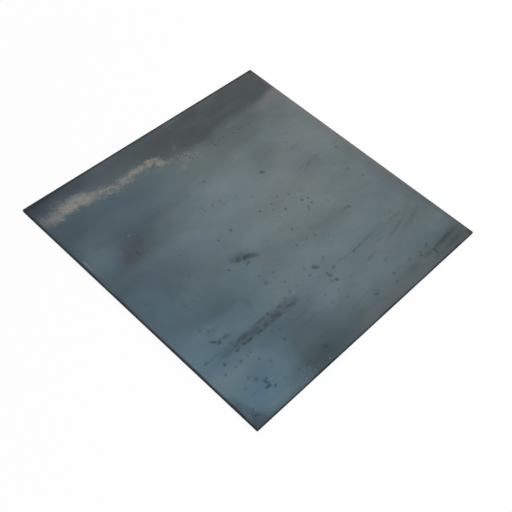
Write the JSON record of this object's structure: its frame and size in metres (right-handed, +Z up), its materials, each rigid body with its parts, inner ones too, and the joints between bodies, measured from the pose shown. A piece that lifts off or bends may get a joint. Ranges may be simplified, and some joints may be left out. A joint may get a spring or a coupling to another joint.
{
  "type": "steel plate",
  "caption": "Flat square of hot-rolled steel plate with mill scale on its faces and sheared edges.",
  "frame": {"origin": "middle of the underside", "axes": "+X along the rolling direction, +Y across it, +Z up through the thickness"},
  "size_m": [0.6096, 0.6096, 0.0063],
  "materials": {
    "mill_scale_steel": "satin"
  },
  "bodies": {
    "root": {"plate": "mill_scale_steel"}
  },
  "joints": []
}
